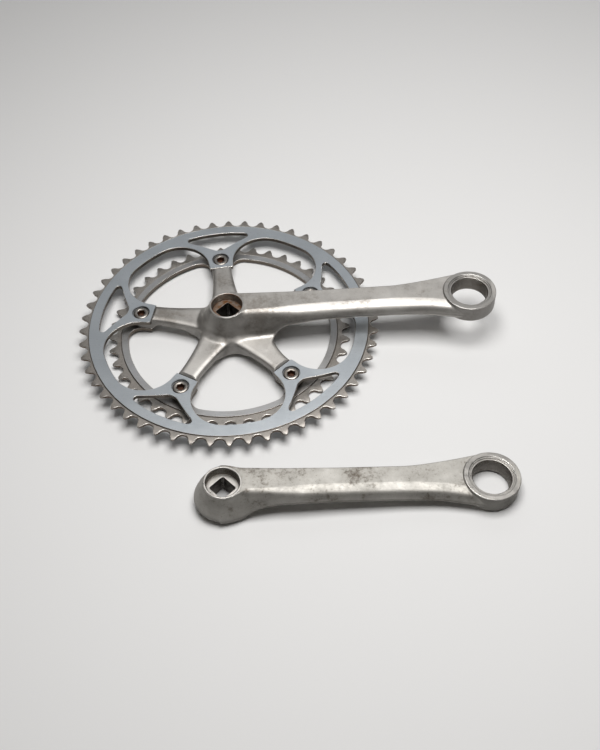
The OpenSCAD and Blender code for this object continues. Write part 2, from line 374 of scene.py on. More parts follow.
def window_outline(apex, outer_r, slope, blunt, end_r, bow):
    """A three-sided opening outside a bolt, its two sides bowed inwards, its corners round."""
    low = np.array([apex, blunt])
    way = np.array([slope, 1]) / math.hypot(slope, 1)
    run = math.sqrt(low.dot(way) ** 2 - low.dot(low) + outer_r**2) - low.dot(way)
    high = low + run * way
    t = np.linspace(0, 1, 120)[:, None]
    across = np.array([way[1], -way[0]])
    side = low * (1 - t) + high * t + across * bow * np.sin(math.pi * t)
    turns = np.linspace(0.1, math.atan2(high[1], high[0]), 1500)
    centres = (outer_r - end_r) * np.stack([np.cos(turns), np.sin(turns)], 1)
    gaps = np.linalg.norm(centres[:, None] - side[None], axis=2)
    best = int(np.argmin(np.abs(gaps.min(1) - end_r)))
    foot = int(np.argmin(gaps[best]))
    centre = centres[best]
    start = math.degrees(math.atan2(*(side[foot] - centre)[::-1]))
    end = math.degrees(turns[best])
    half = np.concatenate([side[:foot], arc(centre, end_r, start, end, 16)])
    far = arc((0, 0), outer_r, end, -end, 60)
    return round_corners(np.concatenate([half, far[1:-1], half[::-1] * (1, -1)])[::-1], 2.2)


def round_corners(loop, radius):
    """Rounds a closed outline's corners: every point becomes the mean of its stretch of outline."""
    closed = np.concatenate([loop, loop[:1]])
    lengths = np.concatenate([[0], np.cumsum(np.linalg.norm(np.diff(closed, axis=0), axis=1))])
    total = lengths[-1]
    count = int(total / 0.45)
    spots = np.arange(count) * total / count
    offsets = np.linspace(-radius, radius, 15)
    where = (spots[:, None] + offsets) % total
    weights = np.cos(np.linspace(-math.pi / 2, math.pi / 2, 17)[1:-1])
    weights = weights / weights.sum()
    return np.stack([(np.interp(where, lengths, closed[:, k]) * weights).sum(1) for k in (0, 1)], 1)


def chainring(name, teeth, tip_turn, front, back, step_r, middle, windows, hole_stages):
    """A chainring: a flat web, a groove, and a thinner band of worn teeth."""
    dice = np.random.default_rng(SEED + teeth)
    outline, pitch_r = tooth_outline(teeth, tip_turn, dice)
    band_front, band_back = front - 0.7, back + 0.3
    plate = Plate()

    def opening(loop):
        wide = inset(loop, -EDGE_W)
        return plate.strips([(wide, front), (loop, front - EDGE_W), (loop, back + EDGE_W), (wide, back)],
                            WEB, EDGE)

    holes = [opening(middle)] + [opening(one) for one in windows]
    for centre in bolt_centres:
        stages = [(ring_of(r, 64) + np.array(centre.xy), z) for r, z in hole_stages]
        holes.append(plate.strips(stages, WEB))
    step = plate.strips([(ring_of(step_r - 0.15, 360), front), (ring_of(step_r, 360), front - 0.15),
                         (ring_of(step_r, 360), band_front - 0.3),
                         (ring_of(step_r + 0.3, 360), band_front - 0.3),
                         (ring_of(step_r + 0.55, 360), band_front)], BARE)
    reach = np.linalg.norm(outline, axis=1)
    thin = 0.5 * np.clip((reach - pitch_r + 1.2) / (ADDENDUM + 1.2), 0, 1) ** 1.3
    shy = inset(outline, 0.34)
    teeth_loops = plate.strips([(shy, band_front - 0.6 * thin), (outline, band_front - 0.3 - thin),
                                (outline, band_back + 0.3 + thin), (shy, band_back + 0.6 * thin)], BARE, EDGE)
    rear = plate.strips([(ring_of(step_r + 0.3, 360), band_back), (ring_of(step_r, 360), back)], BARE)
    plate.cap([step[0]] + [h[0] for h in holes], WEB)
    plate.cap([teeth_loops[0], step[-1]], BARE)
    plate.cap([teeth_loops[-1], rear[0]], BARE)
    plate.cap([rear[-1]] + [h[-1] for h in holes], WEB)
    return plate.build(name)


# ---------------------------------------------------------------- forged shapes
def rounded_cut(a, b, r):
    """Distance to what two solids share, the edge between them rounded to r."""
    return np.minimum(-r, np.maximum(a, b)) + np.hypot(np.maximum(a + r, 0), np.maximum(b + r, 0))


def filleted(a, b, r):
    """Distance to two solids joined, the corner between them filled to r."""
    return np.maximum(r, np.minimum(a, b)) - np.hypot(np.maximum(r - a, 0), np.maximum(r - b, 0))


def ramp(t):
    """From 0 to 1, then flat."""
    return np.clip(t, 0, 1)


def smooth(t):
    """From 0 to 1 without a corner at either end."""
    t = ramp(t)
    return t * t * (3 - 2 * t)


class Arm:
    """One crank arm's own frame and sizes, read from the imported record's mounts."""

    def __init__(self, side):
        recess, pedal = mounts[f"{side}_extractor_thread"], mounts[f"{side}_pedal_thread"]
        self.side = side
        self.axis = Vector(recess["axis"]).normalized()
        self.rim = Vector(recess["pos_m"]) / MM + self.axis * RECESS_DEPTH / 2
        towards = Vector(pedal["pos_m"]) / MM - self.rim
        thread_middle = (COUNTERBORE_DEPTH + EYE_T) / 2
        self.eye_rise = towards.dot(self.axis) + thread_middle
        along = towards - self.axis * towards.dot(self.axis)
        self.length = along.length
        along.normalize()
        across = self.axis.cross(along)
        self.matrix = Matrix((along, across, self.axis)).transposed().to_4x4()
        self.matrix.translation = self.rim * MM
        self.slope = self.eye_rise / self.length

    def half_width(self, x):
        swell = ramp((x - self.length + 55) / 51) ** 1.4
        return WAIST_W / 2 + 1.2 * ramp((70 - x) / 70) + 8.2 * swell

    def underside(self, x):
        drop = (EYE_T - BAR_T - 0.3) * smooth((x - self.length + 60) / 50) + 1.2 * smooth((80 - x) / 60)
        return -BAR_T - drop

    def bar(self, x, y, z, foot_half):
        """The bar between boss and eye, with a long bevel on its -Y side, reaching right down. Near
        the boss its flanks spread to foot_half at its foot."""
        plane = z - self.slope * x
        half = self.half_width(x)
        near = half + BEVEL_OUT * smooth((x - 5) / 40) * smooth((self.length - 25 - x) / 30)
        bevel_w = BEVEL_W - 3.5 * ramp((60 - x) / 50) ** 1.5 - 2 * ramp((x - self.length + 50) / 40)
        tilt = np.radians(BEVEL_TILT + 8 * ramp((48 - x) / 30) - 6 * ramp((x - self.length + 60) / 40))
        face = plane + RIM_LAND - 0.25
        bevel = (bevel_w - near - y) * np.sin(tilt) + (plane + RIM_LAND) * np.cos(tilt)
        flank = np.maximum(foot_half - FOOT_TAPER * x - half, 0) * ramp(-plane / 16) ** 0.8
        body = rounded_cut(face, y - half - flank, 1.3)
        side = rounded_cut(bevel, -y - near - flank, 4.5 + 3.5 * ramp((50 - x) / 35))
        body = rounded_cut(body, side, 2.0)
        return np.maximum(body, np.maximum(-x, x - self.length + 2))

    def undercut(self, body, x, y, z, root, root_r):
        """Cuts away what is under the bar past its root, its underside curving up from there. root is
        a point on the root's face and the way that face points."""
        beyond = (x - root[0]) * root[2] + (y - root[1]) * root[3] - 0.25 * (z + 15)
        below = rounded_cut(-beyond, z - self.slope * x - self.underside(x), root_r)
        edge = 1.2 + 4.3 * smooth(beyond / 30)
        return rounded_cut(body, -below, edge)

    def boss(self, x, y, z, height, low_r, end_r):
        """The boss, flaring from its rim to its shoulder, then to low_r at its foot."""
        depth = -z
        flare = RIM_R + (BOSS_R - RIM_R) * smooth(depth / BOSS_WIDEST) ** 0.9
        radius = flare + (low_r - BOSS_R) * smooth((depth - BOSS_WIDEST + 2) / 7)
        wall = (np.hypot(x, y) - radius) * 0.93
        return np.maximum(rounded_cut(wall, -height - 0.3 - z, end_r), z - 0.3)

    def eye(self, x, y, z):
        """The pedal eye, left a little tall for its face to be planed."""
        wall = np.hypot(x - self.length, y) - EYE_R
        body = rounded_cut(wall, self.eye_rise - EYE_T - z, 1.2)
        return np.maximum(body, z - self.eye_rise - 0.3)


def leg_field(x, y, z, index):
    """One leg of the spider. Its sides that look towards the arm are the wider ones."""
    turn = math.radians(LEG_TURN + index * LEG_STEP)
    u, v = x * math.cos(turn) + y * math.sin(turn), y * math.cos(turn) - x * math.sin(turn)
    arm_side = {0: -1, LEGS - 1: 1}.get(index, 0)
    spread = np.where(v * arm_side > 0, ARM_SIDE_SPREAD, LEG_SPREAD)
    v = np.abs(v)
    half = LEG_HALF + np.minimum(spread * np.maximum(LEG_END - u, 0) ** 2, 4.5)
    half = half - LEG_DRAFT * np.maximum(LEG_TOP - z, 0) * smooth((LEG_END - u) / 6)
    back = LEG_BACK - 0.25 + RELIEF * smooth((u - 24) / 8) * smooth((LEG_END - u) / 5)
    top = z - LEG_TOP - (HUB_TOP - LEG_TOP) * ramp((LEG_END - u) / 36)
    bevel = (v - half + 2.2) * 0.5 + top * 0.866
    end = np.where(u > BOLT_CIRCLE_R, np.hypot(u - BOLT_CIRCLE_R, v) - LEG_HALF, v - half)
    body = rounded_cut(rounded_cut(end, top, 0.5), bevel, 0.8)
    return np.maximum(rounded_cut(body, back - z, 1.0), 4 - u)


def spider_field(x, y, z):
    """The hub, its five legs and the web under the arm, in the frame of the rings, and the legs alone."""
    away = np.hypot(x, y)
    hub = rounded_cut(away - HUB_R - 3 * ramp((HUB_TOP - z) / 11), z - HUB_TOP, 1.5)
    legs, crisp = None, None
    for i in range(LEGS):
        body = leg_field(x, y, z, i)
        legs = body if legs is None else filleted(legs, body, 5.0)
        crisp = body if crisp is None else np.minimum(crisp, body)
    low_leg, high_leg = math.radians(LEG_TURN - LEG_STEP), math.radians(LEG_TURN)
    web = np.maximum(x * math.sin(low_leg) - y * math.cos(low_leg),
                     y * math.cos(high_leg) - x * math.sin(high_leg))
    web = np.maximum(np.maximum(web, x - 42), z - HUB_TOP + 0.4)
    spider = np.minimum(filleted(hub, legs, 4.0), web)
    return np.maximum(spider, LEG_BACK - 0.25 - z), crisp


def grid(low, high):
    """Coordinates of the grid that a field is worked out on."""
    axes = [np.arange(low[k], high[k] + VOXEL, VOXEL, dtype=np.float32) for k in range(3)]
    return np.meshgrid(*axes, indexing="ij", sparse=True)


def skin(name, field, low):
    """The surface where a field of distances is zero."""
    cells = openvdb.FloatGrid(3 * VOXEL)
    cells.copyFromArray(np.clip(field, -3 * VOXEL, 3 * VOXEL).astype(np.float32))
    points, quads = cells.convertToQuads()
    made = new_object(name, points * VOXEL + np.asarray(low), quads.tolist())
    ease = made.modifiers.new("ease", "SMOOTH")
    ease.factor, ease.iterations = 0.5, 2
    evaluated = made.evaluated_get(bpy.context.evaluated_depsgraph_get())
    made.data = bpy.data.meshes.new_from_object(evaluated)
    made.modifiers.clear()
    return fix_normals(made)


# face groups of an arm
FORGED, PLANED, MACHINED, RECESS, SOCKET, THREAD = range(6)


def plane_face(thing, arm):
    """Planes the arm's face, leaving the boss rim and the pedal eye standing above it."""
    low_x, high_x = -40.0, arm.length + 40
    corners = [(x, y, arm.slope * x - RIM_LAND + up) for up in (0, 14) for x, y in
               ((low_x, -40), (high_x, -40), (high_x, 40), (low_x, 40))]
    faces = [(3, 2, 1, 0), (4, 5, 6, 7), (0, 1, 5, 4), (1, 2, 6, 5), (2, 3, 7, 6), (3, 0, 4, 7)]
    tool = fix_normals(new_object("plane_tool", corners, faces, [PLANED] * 6))
    rim = lathe("rim_plug", [(0, -6), (RIM_R + 0.5, -6), (RIM_R + 0.02, -0.45), (RIM_R - 0.4, 0), (0, 0)],
                group=MACHINED)
    eye = lathe("eye_plug", [(0, -6), (EYE_R, -6), (EYE_R, -0.5), (EYE_R - 0.5, 0), (0, 0)],
                (arm.length, 0, arm.eye_rise), 192, group=MACHINED)
    combine(tool, rim)
    combine(tool, eye)
    return combine(thing, tool)


def plane_back(thing, level, boss_level, boss_r):
    """Planes the back of the spider, and the end of the boss that stands out of it."""
    tool = lathe("back_tool", [(0, boss_level), (boss_r, boss_level), (boss_r + 0.6, level), (300, level),
                               (300, boss_level - 12), (0, boss_level - 12)], group=PLANED)
    return combine(thing, tool)


def bore_arm(thing, arm, boss_height):
    """The extractor recess, the square spindle hole and the threaded pedal eye."""
    edge = 0.25
    crest = RECESS_R + THREAD_DEPTH
    recess = [(0, 5), (crest + edge + 5, 5), (crest + edge, 0), (crest, -edge), (RECESS_R, -edge - 0.5),
              (RECESS_R, -RECESS_DEPTH), (0, -RECESS_DEPTH)]
    combine(thing, lathe("recess_tool", recess, group=[RECESS] * 4 + [THREAD, RECESS]))
    combine(thing, thread_cutter("recess_thread", RECESS_R - 0.05, THREAD_DEPTH, RECESS_PITCH,
                                 -RECESS_DEPTH + 1, 1, group=THREAD))
    deep = boss_height - RECESS_DEPTH + 2
    flats = [TAPER_FLATS + 2 * TAPER_GROWTH * deep, TAPER_FLATS - 0.14]
    levels = [-boss_height - 2, -RECESS_DEPTH + 2]
    points = []
    for wide, level in zip(flats, levels):
        half, cut = wide / 2, 0.9
        loop = [(half, -half + cut), (half, half - cut), (half - cut, half), (-half + cut, half),
                (-half, half - cut), (-half, -half + cut), (-half + cut, -half), (half - cut, -half)]
        points += [(x, y, level) for x, y in turned(loop, 45)]
    faces = [tuple(range(8))[::-1], tuple(range(8, 16))]
    faces += [(i, (i + 1) % 8, 8 + (i + 1) % 8, 8 + i) for i in range(8)]
    combine(thing, fix_normals(new_object("taper_tool", points, faces, [SOCKET] * 10)))
    place = (arm.length, 0, arm.eye_rise)
    step = 0.5
    eye = [(0, 5), (COUNTERBORE_R + 0.3 + 5, 5), (COUNTERBORE_R + 0.3, 0), (COUNTERBORE_R, -0.3),
           (COUNTERBORE_R, -step), (COUNTERBORE_R - 0.8, -step), (COUNTERBORE_R - 0.8, -COUNTERBORE_DEPTH),
           (EYE_BORE_R + THREAD_DEPTH + 0.2, -COUNTERBORE_DEPTH),
           (EYE_BORE_R, -COUNTERBORE_DEPTH - 0.7), (EYE_BORE_R, -EYE_T + 0.7),
           (EYE_BORE_R + 0.9, -EYE_T - 0.2), (EYE_BORE_R + 0.9, -EYE_T - 3), (0, -EYE_T - 3)]
    eye_groups = [MACHINED] * 7 + [THREAD] * 4 + [MACHINED]
    combine(thing, lathe("eye_tool", eye, place, 192, group=eye_groups))
    hand = 1 if arm.side == "right" else -1
    combine(thing, thread_cutter("eye_thread", EYE_BORE_R - 0.05, THREAD_DEPTH, EYE_PITCH, -EYE_T - 3, 0.5,
                                 place, THREAD, hand))
    return thing


def seat_rings(thing, rim_height):
    """Cuts the seats of the outer ring's tabs, the shoulders' chamfers and the bolt holes."""
    for i in range(LEGS):
        turn = LEG_TURN + i * LEG_STEP
        wide, top = 12, 5
        side = [(LEG_END - 0.2, LUG_FRONT), (BOLT_CIRCLE_R + 14, LUG_FRONT), (BOLT_CIRCLE_R + 14, top),
                (LEG_END - 1.7 - (top - LEG_TOP) * 1.2, top), (LEG_END - 1.7, LEG_TOP + 0.1),
                (LEG_END - 0.2, 0.2)]
        points, faces = [], [tuple(range(6)), tuple(range(6, 12))[::-1]]
        for v in (-wide, wide):
            flat = turned([(u, v) for u, _ in side], turn)
            points += [(x, y, h - rim_height) for (x, y), (_, h) in zip(flat, side)]
        faces += [(k, (k + 1) % 6, 6 + (k + 1) % 6, 6 + k) for k in range(6)]
        combine(thing, fix_normals(new_object("seat_tool", points, faces, [PLANED] * 8)))
        centre = bolt_centres[i]
        hole = [(0, 5), (BOLT_HOLE_R, 5), (BOLT_HOLE_R, -30), (0, -30)]
        combine(thing, lathe("lug_hole", hole, (centre.x, centre.y, -rim_height), 64, group=MACHINED))
    return thing


def mark_edges(thing, angle=25):
    """Smooth shading, with a sharp edge wherever a tool met the forging or another cut."""
    mesh = bmesh.new()
    mesh.from_mesh(thing.data)
    bmesh.ops.remove_doubles(mesh, verts=mesh.verts, dist=0.004 * MM)
    bmesh.ops.dissolve_degenerate(mesh, edges=mesh.edges, dist=0.003 * MM)
    limit = math.radians(angle)
    for face in mesh.faces:
        face.smooth = True
    for edge in mesh.edges:
        if len(edge.link_faces) == 2:
            a, b = edge.link_faces
            mixed = a.material_index != b.material_index
            cut = a.material_index > 0
            edge.smooth = not (mixed or (cut and edge.calc_face_angle(0) > limit))
    mesh.to_mesh(thing.data)
    mesh.free()
    return thing


# a point on each bar's root and the way the root faces, then sizes of the bars' and bosses' feet
RIGHT_ROOT = (34.6, -11.7, 0.933, -0.36)
LEFT_ROOT = (11.0, 0.0, 1.0, 0.0)
RIGHT_FOOT_HALF, LEFT_FOOT_HALF = 18.9, 18.0
RIGHT_BOSS_LOW_R, LEFT_BOSS_LOW_R = 19.0, 18.4
LEFT_BOSS_H = 21.0


def build_right_arm():
    arm = Arm("right")
    rim_height = arm.rim.z
    low = np.array([-78.0, -78.0, BOSS_BACK - rim_height - 3])
    high = np.array([arm.length + EYE_R + 3, 78.0, arm.eye_rise + 3])
    x, y, z = grid(low, high)
    boss_height = rim_height - BOSS_BACK
    spider, legs = spider_field(x, y, z + rim_height)
    bar = np.maximum(arm.bar(x, y, z, RIGHT_FOOT_HALF), LEG_BACK - 0.25 - rim_height - z)
    boss = arm.boss(x, y, z, boss_height, RIGHT_BOSS_LOW_R, 2.5)
    field = filleted(filleted(boss, bar, 2.5), spider, 3.5)
    field = np.minimum(arm.undercut(field, x, y, z, RIGHT_ROOT, 9.0), legs)
    field = np.minimum(field, arm.eye(x, y, z))
    thing = skin("right_arm_forging", field, low)
    plane_face(thing, arm)
    plane_back(thing, LEG_BACK - rim_height, -boss_height, 15.0)
    bore_arm(thing, arm, boss_height)
    seat_rings(thing, rim_height)
    mark_edges(thing)
    thing.data.transform(arm.matrix)
    return thing


def build_left_arm():
    arm = Arm("left")
    low = np.array([-20.0, -22.0, -LEFT_BOSS_H - 3])
    high = np.array([arm.length + EYE_R + 3, 22.0, arm.eye_rise + 3])
    x, y, z = grid(low, high)
    bar = rounded_cut(arm.bar(x, y, z, LEFT_FOOT_HALF), -LEFT_BOSS_H - 0.3 - z, 5.0)
    bar = arm.undercut(bar, x, y, z, LEFT_ROOT, 16.0)
    field = filleted(arm.boss(x, y, z, LEFT_BOSS_H, LEFT_BOSS_LOW_R, 5.0), bar, 4.0)
    field = np.minimum(field, arm.eye(x, y, z))
    thing = skin("left_arm_forging", field, low)
    plane_face(thing, arm)
    plane_back(thing, -LEFT_BOSS_H, -LEFT_BOSS_H, 30)
    bore_arm(thing, arm, LEFT_BOSS_H)
    mark_edges(thing)
    thing.data.transform(arm.matrix)
    return thing


# ---------------------------------------------------------------- bolts and nuts
def chainring_bolt(index):
    """A domed bolt with a hexagon socket, its mouth dished."""
    centre = bolt_centres[index]
    dome = [(3.3, 0.35), (4.2, 0.4), (4.8, 0.52), (5.2, 0.72), (HEAD_R, 1.1)]
    profile = [(0, HEAD_TOP - 0.35)] + [(r, HEAD_TOP - drop) for r, drop in dome]
    profile += [(HEAD_R, HEAD_SEAT), (SHANK_R, HEAD_SEAT), (SHANK_R, BOLT_END + 0.5),
                (SHANK_R - 0.5, BOLT_END), (0, BOLT_END)]
    bolt = lathe(f"chainring_bolt_{index + 1}_turned", profile, (centre.x, centre.y, 0), 72, group=0)
    across = HEX_FLATS / math.sqrt(3)
    turn = LEG_TURN + index * 17
    outline = turned(ring_of(across, 6), turn) + np.array(centre.xy)
    combine(bolt, prism("socket_tool", outline, HEAD_TOP - HEX_DEPTH, HEAD_TOP + 1, 1))
    mouth = [(0, HEAD_TOP + 0.65), (across + 1.5, HEAD_TOP + 0.65), (across + 0.5, HEAD_TOP - 0.35),
             (HEX_FLATS / 2 + 0.1, HEAD_TOP - 0.75), (0, HEAD_TOP - 0.75)]
    combine(bolt, lathe("mouth_tool", mouth, (centre.x, centre.y, 0), 72, group=0))
    return mark_edges(bolt)


def sleeve_nut(index):
    """A thin-walled sleeve with a flange and a driver slot across its back."""
    centre = bolt_centres[index]
    flange_top = NUT_BACK + FLANGE_T
    profile = [(SLEEVE_BORE_R, SLEEVE_TOP), (SLEEVE_R - 0.2, SLEEVE_TOP), (SLEEVE_R, SLEEVE_TOP - 0.2),
               (SLEEVE_R, flange_top), (FLANGE_R, flange_top), (FLANGE_R, NUT_BACK + 0.35),
               (FLANGE_R - 0.35, NUT_BACK), (SLEEVE_BORE_R + 0.3, NUT_BACK), (SLEEVE_BORE_R, NUT_BACK + 0.3)]
    nut = lathe(f"sleeve_nut_{index + 1}_turned", profile, (centre.x, centre.y, 0), 72, closed=True)
    half, reach = 0.8, FLANGE_R + 1
    slot = turned([(-reach, -half), (reach, -half), (reach, half), (-reach, half)], LEG_TURN + 31 * index)
    combine(nut, prism("slot_tool", slot + np.array(centre.xy), NUT_BACK - 1, NUT_BACK + 0.6))
    return mark_edges(nut)


# ---------------------------------------------------------------- materials
class Finish:
    """A material and short ways to add its nodes. Texture sizes are in metres, in the object's frame."""

    def __init__(self, name, metallic=1.0, specular=0.5):
        self.material = bpy.data.materials.new(name)
        self.material.use_nodes = True
        self.tree = self.material.node_tree
        self.surface = self.tree.nodes["Principled BSDF"]
        self.surface.inputs["Metallic"].default_value = metallic
        self.surface.inputs["Specular IOR Level"].default_value = specular
        self.place = self.add("ShaderNodeTexCoord").outputs["Object"]

    def add(self, kind, links=None, **settings):
        node = self.tree.nodes.new(kind)
        for key, value in settings.items():
            setattr(node, key, value)
        for key, value in (links or {}).items():
            socket = node.inputs[key]
            if isinstance(value, bpy.types.NodeSocket):
                self.tree.links.new(value, socket)
            else:
                socket.default_value = value
        return node

    def set(self, **sockets):
        for key, value in sockets.items():
            self.tree.links.new(value, self.surface.inputs[key.replace("_", " ")])

    def noise(self, size, detail=4.0, roughness=0.6, stretch=(1, 1, 1), turn=0.0, shift=0.0):
        """Noise with features about size metres across."""
        spread = self.add("ShaderNodeMapping", {"Vector": self.place, "Scale": stretch,
                                                "Rotation": (0, 0, math.radians(turn)),
                                                "Location": (shift, shift * 0.7, shift * 1.3)})
        made = self.add("ShaderNodeTexNoise", {"Vector": spread.outputs[0], "Scale": 1 / size,
                                               "Detail": detail, "Roughness": roughness})
        return made.outputs["Fac"]

    def between(self, value, low, high, to_low=0.0, to_high=1.0):
        """A value spread from one range to another, held at the ends."""
        made = self.add("ShaderNodeMapRange", {"Value": value, "From Min": low, "From Max": high,
                                               "To Min": to_low, "To Max": to_high})
        return made.outputs[0]

    def sum(self, a, b, operation="ADD"):
        return self.add("ShaderNodeMath", {0: a, 1: b}, operation=operation).outputs[0]

    def blend(self, share, a, b, mode="MIX"):
        made = self.add("ShaderNodeMix", {"Factor": share}, data_type="RGBA", blend_type=mode)
        for socket, value in ((made.inputs[6], a), (made.inputs[7], b)):
            if isinstance(value, bpy.types.NodeSocket):
                self.tree.links.new(value, socket)
            else:
                socket.default_value = (*value, 1)
        return made.outputs[2]

    def bump(self, height, depth, strength=1.0, under=None):
        links = {"Height": height, "Distance": depth, "Strength": strength}
        if under is not None:
            links["Normal"] = under
        return self.add("ShaderNodeBump", links).outputs[0]

    def edges(self, width):
        """How near a point is to an outer edge or inner corner, from 0 to 1."""
        soft = self.add("ShaderNodeBevel", {"Radius": width}, samples=4).outputs[0]
        sharp = self.add("ShaderNodeNewGeometry").outputs["Normal"]
        dot = self.add("ShaderNodeVectorMath", {0: soft, 1: sharp}, operation="DOT_PRODUCT")
        return self.between(dot.outputs["Value"], 0.995, 0.93), soft

    def facing_up(self, low, high):
        """How far a point's surface faces up, from 0 at low to 1 at high."""
        up = self.add("ShaderNodeTexCoord").outputs["Normal"]
        height = self.add("ShaderNodeSeparateXYZ", {"Vector": up}).outputs["Z"]
        return self.between(self.sum(height, 0.0, "ABSOLUTE"), low, high)

    def sides(self, colour, side_shade_colour, low=0.0, high=0.55):
        """Painted shade: a colour that gives way to a darker one on surfaces that do not face up or down."""
        return self.blend(self.facing_up(low, high), side_shade_colour, colour)

    def hidden(self, distance):
        """How deep in a corner a point lies, from 0 to 1; used to paint shade into corners."""
        shade = self.add("ShaderNodeAmbientOcclusion", {"Distance": distance}, samples=4)
        return self.between(shade.outputs["AO"], 0.75, 0.35)


def scratches(finish, count, size, shift):
    """Fine scratches in several directions, as a height from 0 to 1."""
    total = None
    for k in range(count):
        lines = finish.noise(size, 2, 0.5, (1, 38, 1), 23 + k * 61, shift + k * 0.37)
        lines = finish.between(lines, 0.63, 0.72)
        total = lines if total is None else finish.sum(total, lines, "MAXIMUM")
    return total


def forged_finish(name, light, dark, stain_and_corner_shade, blotches, roughness, shift, side_shade_share=0.75):
    """Satin forged aluminium: mottled, stained, scratched, its edges rubbed bright, with painted shade on its
    sides and in its corners.
    """
    # painted shade: the darker colour given to surfaces that face sideways
    side = tuple(0.28 * c for c in dark)
    finish = Finish(name)
    cloud = finish.noise(0.030, 5, 0.62, shift=shift)
    fine = finish.noise(0.0022, 4, 0.7, shift=shift + 1)
    speck = finish.noise(0.0009, 2, 0.6, shift=shift + 2)
    colour = finish.blend(finish.between(cloud, 0.40, 0.66), light, dark)
    patches = finish.sum(cloud, finish.between(fine, 0.3, 0.75, -0.10, 0.12))
    colour = finish.blend(finish.between(patches, 0.56, 0.70, 0, blotches), colour, stain_and_corner_shade)
    colour = finish.blend(finish.between(speck, 0.62, 0.70, 0, 0.35 * blotches + 0.1), colour, stain_and_corner_shade)
    # painted shade: surfaces that do not face up or down are darkened
    colour = finish.sides(colour, finish.blend(side_shade_share, colour, side), 0.05, 0.6)
    edge, soft = finish.edges(0.0009)
    colour = finish.blend(finish.between(edge, 0, 1, 0, 0.35), colour, (0.66, 0.65, 0.62))
    # painted shade: corners darkened towards the stain colour by ambient occlusion
    colour = finish.blend(finish.between(finish.hidden(0.0025), 0, 1, 0, 0.6), colour, stain_and_corner_shade)
    finish.set(Base_Color=colour)
    rough = finish.noise(0.012, 4, 0.65, shift=shift + 3)
    rough = finish.between(rough, 0.3, 0.7, roughness - 0.05, roughness + 0.09)
    finish.set(Roughness=finish.sum(rough, finish.between(fine, 0.3, 0.8, -0.04, 0.08)))
    relief = finish.bump(scratches(finish, 3, 0.02, shift), 0.000012, 0.5, soft)
    relief = finish.bump(fine, 0.00003, 0.35, relief)
    finish.set(Normal=finish.bump(finish.noise(0.006, 2, 0.5, shift=shift + 4), 0.0001, 0.18, relief))
    return finish.material


def machined_finish(name, light, stain_and_corner_shade, stained, roughness, shift):
    """Turned aluminium, with painted shade in its corners."""
    finish = Finish(name)
    cloud = finish.noise(0.006, 5, 0.65, shift=shift)
    colour = finish.blend(finish.between(cloud, 0.62 - stained, 0.80 - stained), light, stain_and_corner_shade)
    edge, soft = finish.edges(0.0004)
    colour = finish.blend(finish.between(edge, 0, 1, 0, 0.6), colour, (0.80, 0.79, 0.76))
    # painted shade: corners darkened towards the stain colour by ambient occlusion
    colour = finish.blend(finish.between(finish.hidden(0.002), 0, 1, 0, 0.7), colour, stain_and_corner_shade)
    finish.set(Base_Color=colour)
    finish.set(Roughness=finish.between(cloud, 0.3, 0.7, roughness - 0.05, roughness + 0.12))
    finish.set(Normal=finish.bump(finish.noise(0.0008, 3, 0.6, shift=shift + 1), 0.00002, 0.4, soft))
    return finish.material


def anodised_finish(name, light, dark, stain_and_corner_shade, roughness, shift, reach=0.002, grime_and_corner_shade=0.5):
    """Blue-grey satin anodising with fine pits and light scratches, with painted shade on its sides and in
    its corners.
    """
    finish = Finish(name)
    cloud = finish.noise(0.035, 5, 0.6, shift=shift)
    fine = finish.noise(0.0012, 3, 0.65, shift=shift + 1)
    marks = scratches(finish, 3, 0.014, shift)
    colour = finish.blend(finish.between(cloud, 0.35, 0.68), light, dark)
    colour = finish.blend(finish.between(fine, 0.60, 0.75, 0, 0.35), colour, stain_and_corner_shade)
    colour = finish.blend(finish.between(marks, 0, 1, 0, 0.3), colour, (0.72, 0.74, 0.76))
    # painted shade: surfaces that do not face up or down are darkened
    colour = finish.sides(colour, (0.13, 0.115, 0.10))
    # painted shade: corners darkened towards the stain colour by ambient occlusion
    colour = finish.blend(finish.between(finish.hidden(reach), 0, 1, 0, grime_and_corner_shade), colour, stain_and_corner_shade)
    finish.set(Base_Color=colour)
    finish.set(Roughness=finish.between(fine, 0.3, 0.75, roughness, roughness + 0.1))
    finish.set(Normal=finish.bump(marks, 0.000012, 0.4, finish.bump(fine, 0.00002, 0.3)))
    return finish.material


def worn_finish(name, light, dark, stain_and_corner_shade, roughness, shift, grime_and_corner_shade=0.5, side_shade_colour=(0.12, 0.09, 0.07)):
    """Bare metal, rubbed by the chain, with grime left between the rubbed places, and painted shade on its
    sides and in its corners.
    """
    finish = Finish(name)
    cloud = finish.noise(0.010, 5, 0.65, shift=shift)
    fine = finish.noise(0.0011, 4, 0.7, shift=shift + 1)
    colour = finish.blend(finish.between(cloud, 0.38, 0.66), light, dark)
    colour = finish.blend(finish.between(fine, 0.55, 0.72, 0, grime_and_corner_shade), colour, stain_and_corner_shade)
    # painted shade: surfaces that do not face up or down are darkened
    colour = finish.sides(colour, side_shade_colour)
    edge, soft = finish.edges(0.0004)
    colour = finish.blend(finish.between(edge, 0, 1, 0, 0.6), colour, (0.82, 0.79, 0.74))
    # painted shade: corners darkened towards the stain colour by ambient occlusion
    colour = finish.blend(finish.between(finish.hidden(0.002), 0, 1, 0, 0.7), colour, stain_and_corner_shade)
    finish.set(Base_Color=colour)
    finish.set(Roughness=finish.between(cloud, 0.3, 0.7, roughness - 0.04, roughness + 0.12))
    finish.set(Normal=finish.bump(fine, 0.00004, 0.4, soft))
    return finish.material


